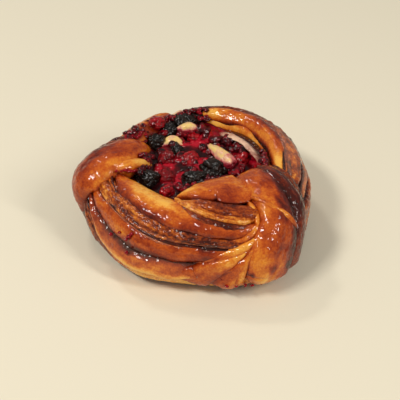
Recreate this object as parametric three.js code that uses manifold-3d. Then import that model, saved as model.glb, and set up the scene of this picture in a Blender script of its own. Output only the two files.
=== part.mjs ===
// Twisted berry bun: a ring of twisted, layered yeast dough with a hollow full of
// dark and red berries, small pieces of set custard and jam.
// Millimetres, +Z up. The bun rests on the flat underside of its dough at Z = 0.
//
// The outside of the bun is laid out on a ring surface with two angles in degrees:
// "around" runs anticlockwise from +X, and "over" runs across the ring, from -90 at
// the underside through 0 at the outer wall and 90 at the crest to 180 at the inner wall.
import * as THREE from "three";
import { mergeVertices } from "three/addons/utils/BufferGeometryUtils.js";
import Module from "manifold-3d";

const wasm = await Module();
wasm.setup();

// Driving dimensions
const bellyHeight = 12;
const ringMiddle = { x: -0.3, y: -1.7 };
const hollowMiddle = { x: 6, y: 14 };
const outerRadii = [63, 64, 66, 60.5, 55.5, 56, 62.5, 54, 55, 54, 63.5, 63.5];
const hollowRadii = [27, 29, 29, 32, 36, 30, 26, 30, 25, 17, 14, 20];
const crestHeights = [39, 39, 38, 37.5, 34, 37, 38, 39, 40, 41, 41, 40];
const sectionFullness = 0.9;
const strandBed = 4;
const floorThickness = 14;
const floorRadius = 38;
const gap = 0.3;
const largeBerry = 7.3;

// Strands of dough. Each fan is a set of strands that run side by side over the ring
// surface, given by angles at a few stations; "half" is half a strand's width, one
// size or one at each station.
const fans = [
  {
    part: "back band, from its tips at the middle of the back round to the right",
    around: [150, 100, 60, 20, -12, -34],
    lift: [-2, 0, 0, 0, -1, -5],
    steps: 9,
    rows: [
      { around: [184, 120, 70, 20, -12, -34], over: [-24, -26, -24, -24, -26, -26], half: 6, thick: 6 },
      { around: [182, 120, 70, 20, -12, -34], over: [2, -2, -2, -6, -10, -12], half: 6, thick: 6 },
      { over: [24, 22, 22, 16, 8, 4], half: 6, thick: 6 },
      { over: [44, 44, 46, 38, 26, 20], half: 5, thick: 5 },
    ],
  },
  {
    part: "inner leaves of the back band",
    around: [94, 82, 60, 25, -5, -30],
    lift: [0.5, 1, 0.5, 0, 0, -3],
    steps: 10,
    rows: [
      { around: [98, 84, 60, 25, -5, -30], over: [66, 67, 68, 58, 44, 38], half: 3.5, thick: 4 },
      { around: [92, 80, 60, 25, -5, -30], over: [86, 90, 90, 78, 62, 56], half: 5, thick: 5 },
      { over: [110, 112, 112, 102, 86, 78], half: 7.5, thick: 7 },
      { over: [136, 135, 136, 130, 112, 98], half: 6, thick: 6 },
    ],
  },
  {
    part: "thin pale leaf along the inside of the back band",
    around: [72, 60, 40, 20, 5],
    lift: [-1, 0, 0, 0, -1],
    steps: 8,
    rows: [{ over: [150, 154, 158, 158, 152], half: 3, thick: 4 }],
  },
  {
    part: "back left lobe, under the berries",
    around: [166, 148, 128, 110],
    lift: [-3, -2, 0, 0],
    steps: 7,
    rows: [
      { over: [70, 72, 72, 70], half: 7, thick: 7 },
      { over: [100, 100, 100, 98], half: 7, thick: 7 },
    ],
  },
  {
    part: "front band, from under the left loop round to under the right loop",
    around: [180, 198, 213, 235, 262, 290, 322],
    lift: [-4, -1, 0, 0, 0, 0, -3],
    steps: 11,
    rows: [
      { over: [104, 91, 88, 79, 62, 51, 46], half: [5, 5, 7, 9, 9, 6, 5], thick: 8 },
      { over: [90, 74, 64, 54, 38, 34, 36], half: [4, 4, 4, 4, 4, 4, 4], thick: 5 },
      { over: [78, 56, 41, 34, 24, 24, 30], half: [4, 5, 6.5, 7.5, 6.5, 5.5, 4], thick: 8 },
      { over: [62, 36, 12, 3, 4, 10, 22], half: [4, 5, 5, 5, 4, 4, 4], thick: 5 },
      { over: [40, 8, -12, -20, -20, -10, 6], half: [5, 7, 7, 7, 7, 6, 5], thick: 6 },
    ],
  },
  {
    part: "inner block of the front band",
    around: [243, 262, 285, 305, 324],
    lift: [-1, 0, 0.5, 0, -3],
    steps: 8,
    rows: [
      { over: [128, 120, 114, 108, 100], half: 8, thick: 8 },
      { over: [122, 108, 90, 78, 72], half: 4, thick: 4 },
    ],
  },
  {
    part: "lower leaf that folds up over the end of the front band",
    around: [254, 268, 284, 298, 312],
    lift: [-2, 0, 1, 1, -2],
    steps: 7,
    rows: [
      { over: [-24, -14, 6, 24, 36], half: 4.5, thick: 5 },
      { over: [-34, -30, -14, 2, 14], half: 6, thick: 6 },
    ],
  },
  {
    part: "left loop, from its tips in the hollow over the ring and down to the foot",
    over: [150, 116, 82, 48, 16, -14],
    lift: [12, 4, 2, 1.5, 0, -5],
    steps: 9,
    rows: [
      { around: [160, 157, 158, 163, 169, 171], half: 6, thick: 6 },
      { around: [171, 170, 173, 178, 180, 178], half: 8, thick: 8 },
      { around: [184, 183, 187, 189, 187, 183], half: 5, thick: 6 },
    ],
  },
  {
    part: "right loop, from the hollow over the ring and down to the front right foot",
    over: [136, 110, 78, 45, 12, -28],
    lift: [3, 4, 3.5, 3, 3, 0],
    steps: 9,
    rows: [
      { around: [322, 315, 313, 311, 300, 294], half: [4, 5, 4.5, 5, 6, 5], thick: 7 },
      { around: [334, 325, 319, 318, 310, 303], half: [8, 7, 6, 8, 9, 8], thick: 9 },
      { around: [346, 338, 329, 328, 325, 317], half: [6.5, 7, 8, 7, 7, 7], thick: 8 },
      {
        around: [354, 347, 343, 340, 338, 332],
        lift: [2, 2, 2, 1, -1, -3],
        half: 4,
        thick: 6,
      },
    ],
  },
];

// Berries and custard pieces: centre, half sizes and a turn about Z in degrees
const darkBerries = [
  { at: [-5, 47.5, 33], size: [7.2, 6, 5.4], turn: 0 },
  { at: [-12.5, 39.5, 31.5], size: [5.6, 5.5, 5.6], turn: 30 },
  { at: [-20.5, 29.5, 31.5], size: [5.8, 6.4, 6], turn: 0 },
  { at: [-8.5, 25.5, 30], size: [4.6, 4.2, 4.4], turn: 0 },
  { at: [-24, 1, 30], size: [6.9, 5.8, 5.6], turn: 0 },
  { at: [11, 10.5, 30], size: [7.4, 6.2, 6.4], turn: 10 },
  { at: [0.5, 2, 29], size: [7.4, 4.6, 4.8], turn: 12 },
  { at: [25, 31.5, 28], size: [4.4, 3.6, 3.8], turn: -20 },
];
const redBerries = [
  { at: [-19, 41, 36.5], size: [4.8, 4.4, 4.2], turn: 0 },
  { at: [0.5, 38, 28.5], size: [5.4, 4.6, 4.6], turn: 0 },
  { at: [8.5, 40, 28.5], size: [4, 4, 4], turn: 0 },
  { at: [-1.5, 19, 29], size: [5.4, 5, 4.8], turn: 0 },
  { at: [7.5, 26.5, 27], size: [4.2, 4, 4], turn: 0 },
  { at: [20, 30.5, 27], size: [4, 3.8, 3.8], turn: 0 },
  { at: [26, 20, 28], size: [4.9, 4.9, 4.6], turn: 0 },
  { at: [37.5, 10.5, 31], size: [4.8, 4, 4], turn: 0 },
  { at: [-14, 18.5, 30], size: [4.6, 4.4, 4.4], turn: 0 },
  { at: [-14, 4, 29], size: [4.8, 5.2, 4.6], turn: 0 },
  { at: [-13, -11, 31.5], size: [4, 3.4, 3.4], turn: 0 },
];
const custardPieces = [
  { at: [-3, 40.5, 34], size: [5, 2.8, 2.6], turn: 5 },
  { at: [-9.5, 32.5, 31.5], size: [6, 3.2, 2.8], turn: -12 },
  { at: [15.5, 20, 29.5], size: [7, 3.4, 3.2], turn: -55 },
];

// Finishes
const crustLook = { color: 0xb9682c, roughness: 0.35, metalness: 0 };
const jamLook = { color: 0x6e0f1c, roughness: 0.15, metalness: 0 };
const darkBerryLook = { color: 0x1d1418, roughness: 0.25, metalness: 0 };
const redBerryLook = { color: 0x8e1222, roughness: 0.2, metalness: 0 };
const custardLook = { color: 0xe3c98a, roughness: 0.5, metalness: 0 };

// Outer radius, inner radius and height round the bun, smooth between stations 30 degrees apart
const ringLoop = new THREE.CatmullRomCurve3(
  outerRadii.map((outer, i) => new THREE.Vector3(outer, hollowRadii[i], crestHeights[i])),
  true,
  "catmullrom",
);

function bareRingPoint(around, over) {
  const turn = THREE.MathUtils.euclideanModulo(around, 360);
  const sizes = ringLoop.getPoint(turn / 360);
  const along = new THREE.Vector2(1, 0).rotateAround(new THREE.Vector2(), THREE.MathUtils.degToRad(turn));
  const outer = along.clone().multiplyScalar(sizes.x);
  const inner = along.clone().multiplyScalar(sizes.y).add(hollowMiddle);
  const across = Math.cos(THREE.MathUtils.degToRad(over));
  const upward = Math.sin(THREE.MathUtils.degToRad(over));
  const share = 0.5 - 0.5 * Math.sign(across) * Math.abs(across) ** sectionFullness;
  const plan = outer.lerp(inner, share);
  const rise = upward > 0
    ? (sizes.z - bellyHeight) * upward ** sectionFullness
    : 1.3 * bellyHeight * upward;
  return new THREE.Vector3(plan.x, plan.y, Math.max(0, bellyHeight + rise));
}

// Point on the ring surface and the direction straight out of it
function ringFrame(around, over) {
  const step = 1;
  const alongRing = bareRingPoint(around + step, over).sub(bareRingPoint(around - step, over));
  const overRing = bareRingPoint(around, over + step).sub(bareRingPoint(around, over - step));
  const normal = alongRing.cross(overRing).normalize();
  return { point: bareRingPoint(around, over), normal };
}

// Closed mesh from rings of points, each ring a closed loop, with a pole at each end
function loftGeometry(rings, startPole, endPole) {
  const sides = rings[0].length;
  const points = [startPole, ...rings.flat(), endPole];
  const index = [];
  const at = (ring, side) => 1 + ring * sides + (side % sides);
  const last = points.length - 1;
  for (let side = 0; side < sides; side += 1) {
    index.push(0, at(0, side + 1), at(0, side));
    index.push(last, at(rings.length - 1, side), at(rings.length - 1, side + 1));
    for (let ring = 0; ring + 1 < rings.length; ring += 1) {
      index.push(at(ring, side), at(ring, side + 1), at(ring + 1, side + 1));
      index.push(at(ring, side), at(ring + 1, side + 1), at(ring + 1, side));
    }
  }
  const geometry = new THREE.BufferGeometry().setFromPoints(points);
  geometry.setIndex(index);
  return geometry;
}

function toSolid(geometry) {
  const bare = geometry.clone();
  bare.deleteAttribute("normal");
  bare.deleteAttribute("uv");
  const merged = mergeVertices(bare, 1e-4);
  return new wasm.Manifold(new wasm.Mesh({
    numProp: 3,
    vertProperties: new Float32Array(merged.getAttribute("position").array),
    triVerts: new Uint32Array(merged.index.array),
  }));
}

function toGeometry(solid) {
  const mesh = solid.getMesh();
  const geometry = new THREE.BufferGeometry();
  geometry.setAttribute("position", new THREE.BufferAttribute(mesh.vertProperties, 3));
  geometry.setIndex(new THREE.BufferAttribute(mesh.triVerts, 1));
  geometry.computeVertexNormals();
  return geometry;
}

// One strand: an oval section carried along a line of stations on the ring surface
function strandSolid(fan, row, grow) {
  const around = row.around ?? fan.around;
  const over = row.over ?? fan.over;
  const lift = row.lift ?? fan.lift;
  const line = new THREE.CatmullRomCurve3(
    lift.map((height, i) => new THREE.Vector3(around[i], over[i], height)),
  );
  const widths = new THREE.CatmullRomCurve3(
    lift.map((_, i) => new THREE.Vector3(Array.isArray(row.half) ? row.half[i] : row.half, i, 0)),
  );
  const sides = 8;
  const rings = [];
  const crestAt = (u) => {
    const station = line.getPoint(u);
    const frame = ringFrame(station.x, station.y);
    return { ...frame, crest: frame.point.clone().addScaledVector(frame.normal, station.z) };
  };
  const middleAt = (u, fullness) => {
    const { crest, normal } = crestAt(u);
    return crest.addScaledVector(normal, -row.thick * (0.5 + 0.5 * fullness));
  };
  for (let i = 1; i < fan.steps; i += 1) {
    const u = i / fan.steps;
    const fullness = Math.sqrt(1 - Math.abs(2 * u - 1) ** 6);
    const { normal } = crestAt(u);
    const ahead = crestAt(Math.min(1, u + 0.01)).crest;
    const forward = ahead.sub(crestAt(u - 0.01).crest).normalize();
    const side = new THREE.Vector3().crossVectors(normal, forward).normalize();
    const middle = middleAt(u, fullness);
    const half = widths.getPoint(u).x;
    const ring = [];
    for (let k = 0; k < sides; k += 1) {
      const turn = (2 * Math.PI * k) / sides;
      ring.push(middle.clone()
        .addScaledVector(side, (half * fullness + grow) * Math.cos(turn))
        .addScaledVector(normal, (row.thick * fullness + grow) * Math.sin(turn)));
    }
    rings.push(ring);
  }
  return toSolid(loftGeometry(rings, middleAt(0, 0), middleAt(1, 0)));
}

// The ring under the strands: the ring surface lowered to make a bed for them
function ringBedSolid(grow) {
  const aroundSteps = 30;
  const overSteps = 10;
  const points = [];
  const index = [];
  for (let i = 0; i < aroundSteps; i += 1) {
    for (let k = 0; k < overSteps; k += 1) {
      const over = (360 * k) / overSteps - 90;
      const { point, normal } = ringFrame((360 * i) / aroundSteps, over);
      const bed = strandBed * THREE.MathUtils.smoothstep(Math.sin(THREE.MathUtils.degToRad(over)), -0.9, -0.3);
      const placed = point.addScaledVector(normal, grow - bed);
      placed.z = Math.max(placed.z, -grow);
      points.push(placed);
      const nextI = (i + 1) % aroundSteps;
      const nextK = (k + 1) % overSteps;
      const here = i * overSteps + k;
      index.push(here, nextI * overSteps + k, nextI * overSteps + nextK);
      index.push(here, nextI * overSteps + nextK, i * overSteps + nextK);
    }
  }
  const geometry = new THREE.BufferGeometry().setFromPoints(points);
  geometry.setIndex(index);
  return toSolid(geometry);
}

// Round floor of dough that closes the hollow underneath
function floorSolid(grow) {
  const geometry = new THREE.CylinderGeometry(floorRadius, floorRadius, floorThickness + grow, 30);
  geometry.rotateX(Math.PI / 2);
  geometry.translate(hollowMiddle.x, hollowMiddle.y, (floorThickness + grow) / 2);
  return toSolid(geometry);
}

function belowTableSolid() {
  const depth = 40;
  const geometry = new THREE.BoxGeometry(300, 300, depth);
  geometry.translate(0, 0, -depth / 2);
  return toSolid(geometry);
}

function doughSolid(grow) {
  let solid = ringBedSolid(grow).add(floorSolid(grow));
  for (const fan of fans) {
    for (const row of fan.rows) {
      solid = solid.add(strandSolid(fan, row, grow));
    }
  }
  return solid.subtract(belowTableSolid());
}

// A berry or custard piece: a slightly lumpy ball stretched to its half sizes
function lumpSolid({ at, size, turn }, detail, lumps, grow) {
  const geometry = new THREE.IcosahedronGeometry(1, detail);
  const position = geometry.getAttribute("position");
  const point = new THREE.Vector3();
  for (let i = 0; i < position.count; i += 1) {
    point.fromBufferAttribute(position, i);
    const swell = 1 + lumps * Math.sin(5 * point.x + 1) * Math.sin(5 * point.y) * Math.cos(4 * point.z);
    point.multiplyScalar(swell).multiply(new THREE.Vector3(...size).addScalar(grow));
    position.setXYZ(i, point.x, point.y, point.z);
  }
  geometry.rotateZ(THREE.MathUtils.degToRad(turn));
  geometry.translate(...at);
  return toSolid(geometry);
}

// Height of the berry jam: lowest by the front, higher towards the back left
function jamHeight(x, y) {
  const slope = 0.1 * (y - hollowMiddle.y) - 0.04 * (x - hollowMiddle.x);
  const ripple = 0.7 * Math.sin(0.3 * x + 1) * Math.cos(0.27 * y);
  return 27 + slope + ripple;
}

// The jam heap: a round plug from the dough floor up to the jam's uneven top
function jamHeapGeometry() {
  const sides = 16;
  const reach = 36;
  const shares = [1, 0.7, 0.35];
  const bottom = floorThickness + gap;
  const loop = (share, height) => Array.from({ length: sides }, (_, k) => {
    const turn = (2 * Math.PI * k) / sides;
    const x = hollowMiddle.x + reach * share * Math.cos(turn);
    const y = hollowMiddle.y + reach * share * Math.sin(turn);
    return new THREE.Vector3(x, y, height ?? jamHeight(x, y));
  });
  const { x, y } = hollowMiddle;
  const rings = [loop(1, bottom), ...shares.map((share) => loop(share))];
  return loftGeometry(rings, new THREE.Vector3(x, y, bottom), new THREE.Vector3(x, y, jamHeight(x, y)));
}

function finishedMesh(name, solid, look) {
  const mesh = new THREE.Mesh(toGeometry(solid), new THREE.MeshStandardMaterial(look));
  mesh.name = name;
  return mesh;
}

// Pieces in the order they are cut: each one gives way to the grown pieces before it
const bun = new THREE.Group();
bun.position.set(ringMiddle.x, ringMiddle.y, 0);
bun.add(finishedMesh("dough", doughSolid(0), crustLook));

let taken = doughSolid(gap);

function addLumps(prefix, specs, look, lumps) {
  specs.forEach((spec, i) => {
    const facets = Math.max(...spec.size) > largeBerry ? 2 : 1;
    const solid = lumpSolid(spec, facets, lumps, 0).subtract(taken);
    taken = taken.add(lumpSolid(spec, facets, lumps, gap));
    bun.add(finishedMesh(`${prefix}_${i + 1}`, solid, look));
  });
}

addLumps("dark_berry", darkBerries, darkBerryLook, 0.08);
addLumps("red_berry", redBerries, redBerryLook, 0.06);
addLumps("custard", custardPieces, custardLook, 0.12);
bun.add(finishedMesh("berry_jam", toSolid(jamHeapGeometry()).subtract(taken), jamLook));

export default bun;
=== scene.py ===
import math

import bpy
import numpy as np
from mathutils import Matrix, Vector


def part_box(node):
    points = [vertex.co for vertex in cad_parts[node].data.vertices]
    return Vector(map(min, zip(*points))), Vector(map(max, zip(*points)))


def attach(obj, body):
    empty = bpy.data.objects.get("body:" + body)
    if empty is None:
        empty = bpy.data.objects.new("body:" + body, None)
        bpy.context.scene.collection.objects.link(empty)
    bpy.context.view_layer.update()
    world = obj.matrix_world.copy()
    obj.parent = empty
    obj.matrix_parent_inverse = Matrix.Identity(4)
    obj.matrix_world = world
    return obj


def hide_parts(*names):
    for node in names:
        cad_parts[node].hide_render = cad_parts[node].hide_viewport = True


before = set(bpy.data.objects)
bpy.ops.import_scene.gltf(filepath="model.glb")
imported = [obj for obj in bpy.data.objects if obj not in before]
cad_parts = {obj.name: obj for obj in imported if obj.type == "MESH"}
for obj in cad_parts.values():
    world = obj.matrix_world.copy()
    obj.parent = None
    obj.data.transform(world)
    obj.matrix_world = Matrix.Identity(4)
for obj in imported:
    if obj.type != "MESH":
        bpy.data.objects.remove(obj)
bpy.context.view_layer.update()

# ---- Ring of dough under the strands ----
# Soft wheat dough rolled thin, cut lengthwise and wound into a ring; its folded body lies
# hidden under the strands and closes the bun down to the flat baked underside.
MM = 0.001              # sizes are in mm and turns in degrees, anticlockwise from the right
RING_MIDDLE = np.array([-0.3, -1.7, 0.0])
HOLLOW_MIDDLE = np.array([6.0, 14.0])   # seen from RING_MIDDLE
BELLY_HEIGHT = 12.0
BELLY_UNDERCUT = 1.3    # times that height; the table cuts the lower half of the section flat
# Every 30 degrees
OUTER_RADII = [63, 64, 66, 60.5, 55.5, 56, 62.5, 54, 55, 54, 63.5, 63.5]
HOLLOW_RADII = [27, 29, 29, 32, 36, 30, 26, 30, 25, 17, 14, 20]
CREST_HEIGHTS = [39, 39, 38, 37.5, 34, 37, 38, 39, 40, 41, 41, 40]
SECTION_FULLNESS = 0.9
STRAND_BED = 4.0        # depth by which the strands sink into the ring
BED_LUMP_SIZE = 6.0
FLOOR_RADIUS = 38.0
FLOOR_THICKNESS = 14.0


def between(a, b, c, d, t):
    """Catmull-Rom: from b to c as t goes from 0 to 1, with slopes half of c - a and of d - b."""
    return b + 0.5 * t * (c - a + t * (2 * a - 5 * b + 4 * c - d + t * (3 * (b - c) + d - a)))


def loop_value(values, turn):
    """Value at a turn in degrees on a closed smooth line through evenly spaced values."""
    values = np.asarray(values, float)
    place = np.mod(turn, 360.0) / 360.0 * len(values)
    first = np.floor(place).astype(int)
    near = [values[(first + k) % len(values)] for k in (-1, 0, 1, 2)]
    return between(*near, place - first)


def ring_point(around, over):
    """Point of the ring surface in mm. In plan it lies between the outer radius and the inner
    one, by the cosine of over; it rises from the belly to the crest by the sine of over."""
    turn, across = np.radians(around), np.radians(over)
    way = np.stack([np.cos(turn), np.sin(turn)], -1)
    outer = loop_value(OUTER_RADII, around)[..., None] * way
    inner = HOLLOW_MIDDLE + loop_value(HOLLOW_RADII, around)[..., None] * way
    flat, up = np.cos(across), np.sin(across)
    share = 0.5 - 0.5 * np.sign(flat) * np.abs(flat) ** SECTION_FULLNESS
    plan = outer + (inner - outer) * share[..., None]
    above = (loop_value(CREST_HEIGHTS, around) - BELLY_HEIGHT) * np.abs(up) ** SECTION_FULLNESS
    rise = np.where(up > 0, above, BELLY_UNDERCUT * BELLY_HEIGHT * up)
    height = np.maximum(BELLY_HEIGHT + rise, 0.0)
    return np.concatenate([plan, height[..., None]], -1) + RING_MIDDLE


def unit(vectors):
    """Vectors divided by their own length."""
    return vectors / np.maximum(np.linalg.norm(vectors, axis=-1, keepdims=True), 1e-9)


def ring_normal(around, over):
    """Direction straight out of the ring: the steps along it and over it, crossed."""
    along = ring_point(around + 1.0, over) - ring_point(around - 1.0, over)
    across = ring_point(around, over + 1.0) - ring_point(around, over - 1.0)
    return unit(np.cross(along, across))


def smooth(low, high, value):
    """0 below low, 1 above high, and 3t^2 - 2t^3 between."""
    t = np.clip((value - low) / (high - low), 0.0, 1.0)
    return t * t * (3 - 2 * t)


def lumps(points, size, seed):
    """Smooth noise from -1 to 1: a hashed value at each corner of a grid of that size, blended
    by a smooth step along each axis."""
    scaled = np.asarray(points, float) / size
    corner = np.floor(scaled).astype(np.int64)
    t = scaled - corner
    t = t * t * (3 - 2 * t)
    total = np.zeros(scaled.shape[:-1])
    for step in np.ndindex(2, 2, 2):
        cell = corner + np.array(step)
        mixed = cell[..., 0] * 374761393 + cell[..., 1] * 668265263 + cell[..., 2] * 1440662683
        mixed = (mixed + seed * 1013904223) & 0xFFFFFFFF
        mixed = ((mixed ^ (mixed >> 13)) * 1274126177) & 0xFFFFFFFF
        mixed = ((mixed ^ (mixed >> 15)) * 2246822519) & 0xFFFFFFFF
        value = (mixed ^ (mixed >> 16)) / 0x7FFFFFFF - 1.0
        weight = np.where(np.array(step) == 1, t, 1 - t).prod(-1)
        total += value * weight
    return total


def grid_quads(rows, columns, wrap_rows):
    """Corner numbers of the quads of a grid whose columns close on themselves, and whose rows
    do too if wrap_rows."""
    row = np.arange(rows if wrap_rows else rows - 1)[:, None]
    column = np.arange(columns)[None, :]
    ahead, beside = (row + 1) % rows, (column + 1) % columns
    corners = [row * columns + column, ahead * columns + column,
               ahead * columns + beside, row * columns + beside]
    return np.stack(np.broadcast_arrays(*corners), -1).reshape(-1, 4)


def capped_grid(points, rows, columns, values):
    """A closed surface: a grid whose columns close on themselves, with its first and last row
    joined by triangles to two poles, which follow the grid in points."""
    total = rows * columns
    first, last = np.arange(columns), np.arange(total - columns, total)
    near = np.stack([np.full(columns, total), np.roll(first, -1), first], -1)
    far = np.stack([np.full(columns, total + 1), last, np.roll(last, -1)], -1)
    return {"points": points, "quads": grid_quads(rows, columns, False),
            "triangles": np.concatenate([near, far]), "values": values}


def add_object(name, data):
    """A new object in the scene."""
    thing = bpy.data.objects.new(name, data)
    bpy.context.scene.collection.objects.link(thing)
    return thing


def mesh_piece(name, parts, material):
    """One object from closed surfaces: each part has points in mm, quads, triangles and
    values kept at its points. A part that is inside out is turned by its signed volume."""
    points, quads, triangles, kept = [], [], [], {}
    start = 0
    for part in parts:
        spots, four, three, values = (part[key] for key in ("points", "quads", "triangles", "values"))
        halves = np.concatenate([four[:, [0, 1, 2]], four[:, [0, 2, 3]], three])
        a, b, c = (spots[halves[:, k]] for k in range(3))
        if np.einsum("ij,ij->i", a, np.cross(b, c)).sum() < 0:
            four, three = four[:, ::-1], three[:, ::-1]
        points.append(spots)
        quads.append(four + start)
        triangles.append(three + start)
        for key, value in values.items():
            kept.setdefault(key, []).append(value)
        start += len(spots)
    points, quads, triangles = map(np.concatenate, (points, quads, triangles))
    mesh = bpy.data.meshes.new(name)
    mesh.vertices.add(len(points))
    mesh.vertices.foreach_set("co", (points * MM).astype(np.float32).ravel())
    corners = np.concatenate([quads.ravel(), triangles.ravel()]).astype(np.int32)
    mesh.loops.add(len(corners))
    mesh.loops.foreach_set("vertex_index", corners)
    sizes = np.concatenate([np.full(len(quads), 4), np.full(len(triangles), 3)])
    starts = np.concatenate([[0], np.cumsum(sizes)[:-1]]).astype(np.int32)
    mesh.polygons.add(len(sizes))
    mesh.polygons.foreach_set("loop_start", starts)
    mesh.polygons.foreach_set("use_smooth", np.ones(len(sizes), bool))
    mesh.update(calc_edges=True)
    for key, value in kept.items():
        value = np.concatenate(value).astype(np.float32)
        kind, field = ("FLOAT", "value") if value.ndim == 1 else ("FLOAT_VECTOR", "vector")
        mesh.attributes.new(key, kind, "POINT").data.foreach_set(field, value.ravel())
    mesh.validate()
    mesh.materials.append(material)
    return add_object(name, mesh)


def linear(hex_colour):
    """sRGB hex to linear RGBA, by the sRGB curve."""
    parts = [int(hex_colour[i:i + 2], 16) / 255 for i in (1, 3, 5)]
    return [p / 12.92 if p <= 0.04045 else ((p + 0.055) / 1.055) ** 2.4 for p in parts] + [1.0]


def new_material(name):
    """An empty material and its node tree."""
    material = bpy.data.materials.new(name)
    material.use_nodes = True
    material.node_tree.nodes.clear()
    return material, material.node_tree


def add(tree, kind, inputs=None, **settings):
    """Adds a node, makes its settings, and links or sets each of its inputs."""
    node = tree.nodes.new("ShaderNode" + kind)
    for key, value in settings.items():
        setattr(node, key, value)
    for key, value in (inputs or {}).items():
        if isinstance(value, bpy.types.NodeSocket):
            tree.links.new(value, node.inputs[key])
        else:
            node.inputs[key].default_value = value
    return node


def finish_surface(tree, inputs):
    """Sets or links the sockets of the shader and joins it to the material's output."""
    shader = add(tree, "BsdfPrincipled", inputs)
    add(tree, "OutputMaterial", {"Surface": shader.outputs["BSDF"]})


def add_up(tree, values):
    """Sum of several values."""
    total = values[0]
    for value in values[1:]:
        total = add(tree, "Math", {0: total, 1: value}, operation="ADD").outputs[0]
    return total


def set_ramp(node, stops):
    """Fills a Color Ramp with stops of place and hex colour."""
    ramp = node.color_ramp
    while len(ramp.elements) < len(stops):
        ramp.elements.new(1.0)
    for element, (place, colour) in zip(ramp.elements, stops):
        element.position = place
        element.color = linear(colour)
    return node


# Baked wheat crust, brushed with beaten egg: a thin clear glossy skin over dough that goes
# from pale gold through orange to dark red-brown with the heat, and is painted darker still
# as shade in its creases, towards strand edges and on sides turned from the lamps. Where the
# dough was cut, its layers show as fine crinkled lines; jam has soaked in round the hollow.
BLOTCH_SIZE = 7.0       # mm, patches where the oven browned it unevenly
STREAK_WIDTH = 3.0      # mm, streaks that run along each strand
STREAK_LENGTH = 9.0
LAYER_SPACING = 0.9     # mm across the cut layers
LAYER_LENGTH = 3.0      # mm along them before a line dies out
CRINKLE_SIZE = 1.8      # mm, crinkles of a cut face
BUBBLE_SIZE = 2.0       # mm, the low swells of the egg glaze
GRIT_SIZE = 0.9         # mm, the grain of the crust
GLAZE_SIZE = 1.9        # mm, the fine pitting that breaks the highlights of the glaze up
CREASE_REACH = 4.5      # mm from a crease that stay darker
CRUST_RELIEF = 0.3      # mm, height of the crinkles and swells
GLAZE_RELIEF = 0.42     # mm, depth of the pitting
CRUST_COLOURS = [(0.0, "#f0b24c"), (0.14, "#dc8326"), (0.3, "#b9500f"), (0.45, "#8e2d05"),
                 (0.64, "#541002"), (0.88, "#2c0602")]
CUT_COLOURS = [(0.0, "#f0b45e"), (0.16, "#d8882c"), (0.32, "#b05610"), (0.47, "#7c2e05"),
               (0.66, "#431002"), (0.88, "#260701")]
PALE_DOUGH = "#e8c4a8"
JAM_SOAKED = "#7c0a17"

crust, tree = new_material("egg_glazed_wheat_crust")
place = add(tree, "TexCoord").outputs["Object"]
tone, cut, jam_soak, pale = (add(tree, "Attribute", attribute_name=name).outputs["Fac"]
                             for name in ("tone", "cut", "jam", "pale"))
strand_place = add(tree, "Attribute", attribute_name="strand").outputs["Vector"]
# Size, detail, roughness and distortion of each noise that is fixed to the bun
blotches, crinkle, pimples, grit, glaze = (
    add(tree, "TexNoise", {"Vector": place, "Scale": 1 / (size * MM), "Detail": detail,
                           "Roughness": rough, "Distortion": warp}).outputs["Fac"]
    for size, detail, rough, warp in (
        (BLOTCH_SIZE, 3.0, 0.55, 0.0), (CRINKLE_SIZE, 1.5, 0.5, 0.8), (BUBBLE_SIZE, 1.0, 0.5, 0.0),
        (GRIT_SIZE, 1.0, 0.5, 0.0), (GLAZE_SIZE, 0.0, 0.5, 0.0)))
along_strand, along_layers = (
    add(tree, "VectorMath", {0: strand_place, 1: (1 / width, 1 / length, 1.0)},
        operation="MULTIPLY").outputs["Vector"]
    for width, length in ((STREAK_WIDTH, STREAK_LENGTH), (LAYER_SPACING, LAYER_LENGTH)))
streaks = add(tree, "TexNoise", {"Vector": along_strand, "Scale": 1.0, "Detail": 3.0,
                                 "Roughness": 0.6}).outputs["Fac"]
layers = add(tree, "TexNoise", {"Vector": along_layers, "Scale": 1.0, "Detail": 2.0,
                                "Roughness": 0.55, "Distortion": 0.6}).outputs["Fac"]
# Painted shade: near creases and under neighbouring strands, where the ambient occlusion is low, the
# crust is drawn darker
open_air = add(tree, "AmbientOcclusion", {"Distance": CREASE_REACH * MM}, samples=8).outputs["AO"]
soak_edge = add_up(tree, [blotches, jam_soak])
# Each field with its low and high values, and what it is turned into at each
patchy, streaky, mottled, grain, specks, lines, painted_crease_shade, soaked = (
    add(tree, "MapRange", dict(enumerate(values))).outputs[0] for values in (
        (blotches, 0.32, 0.68, -0.06, 0.06), (streaks, 0.3, 0.7, -0.07, 0.07),
        (crinkle, 0.3, 0.7, -0.03, 0.03), (grit, 0.3, 0.7, -0.04, 0.04),
        (grit, 0.5, 0.75, 0.0, 0.1), (layers, 0.34, 0.68, -0.12, 0.12),
        (open_air, 0.2, 0.9, 0.32, 0.0), (soak_edge, 0.75, 1.1, 0.0, 0.92)))
cut_marks = add_up(tree, [lines, specks])
lines_here = add(tree, "Math", {0: cut_marks, 1: cut}, operation="MULTIPLY").outputs[0]
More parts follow.
